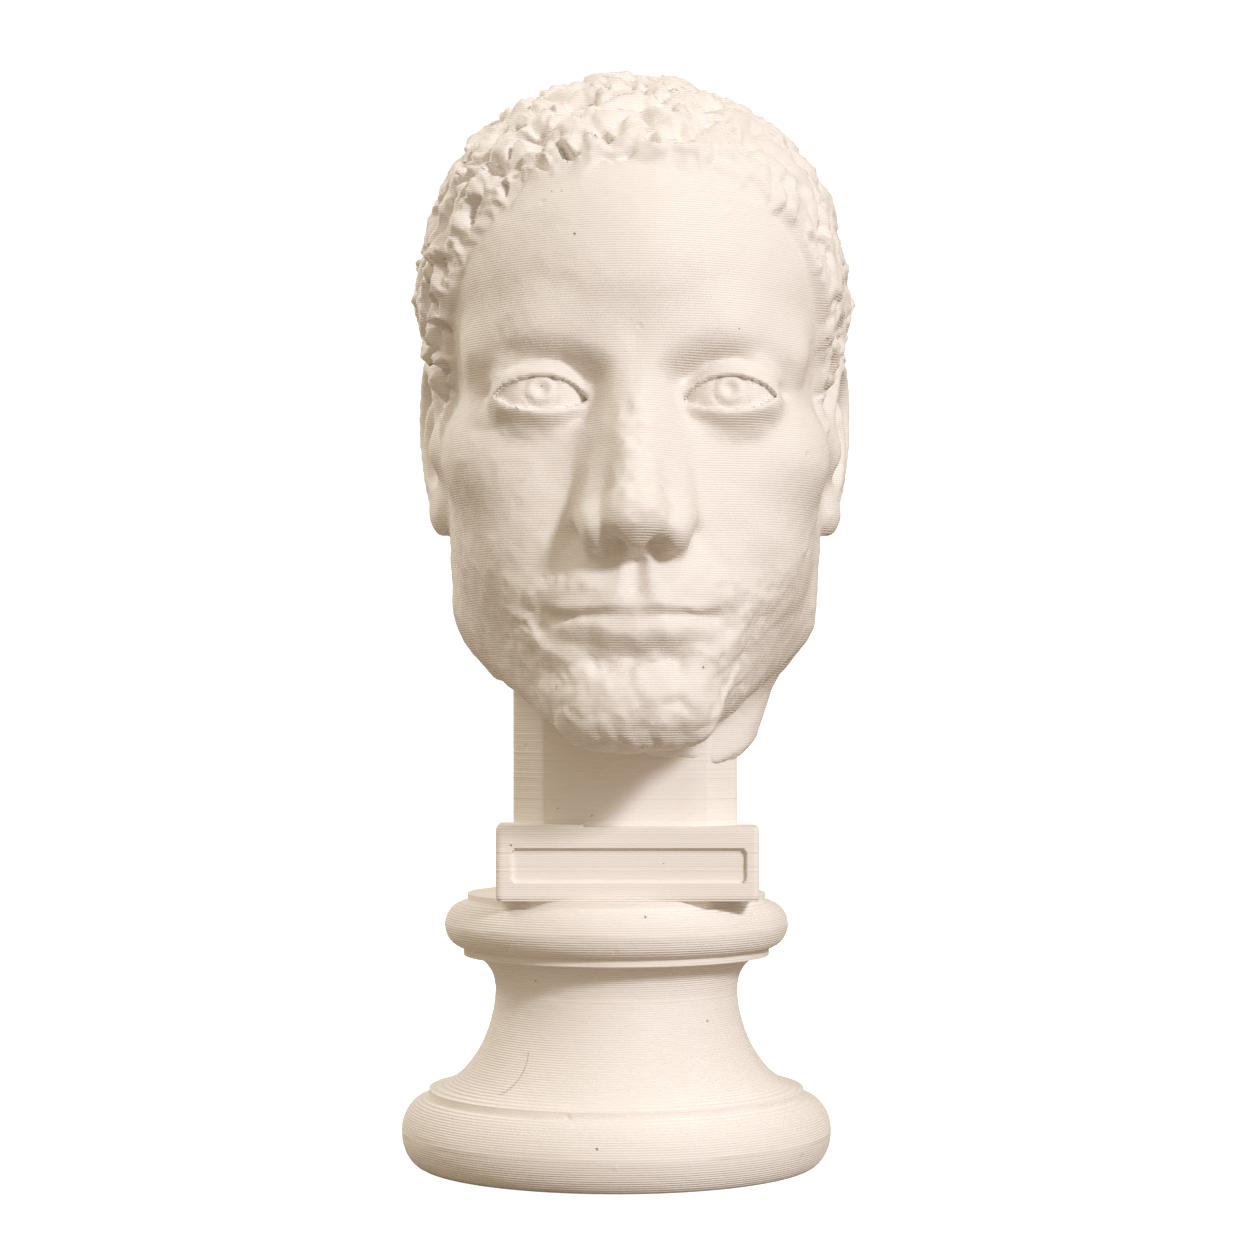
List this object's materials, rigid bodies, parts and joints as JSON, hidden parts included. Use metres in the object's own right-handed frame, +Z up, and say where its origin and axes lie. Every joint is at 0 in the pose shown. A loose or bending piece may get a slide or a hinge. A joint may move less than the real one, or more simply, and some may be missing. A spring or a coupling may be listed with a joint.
{
  "type": "portrait bust",
  "caption": "Desk-size printed portrait head with short curls and beard on a square pillar, a slab with a bare panel and a round turned socle.",
  "frame": {"origin": "centre of the flat round underside of the socle", "axes": "+Z up, the face and the slab's panel towards -Y, the sitter's left towards +X"},
  "size_m": [0.0615, 0.0858, 0.1472],
  "materials": {
    "printed_ivory": "matte, fine level print lines"
  },
  "bodies": {
    "root": {"bust": "printed_ivory"}
  },
  "joints": []
}
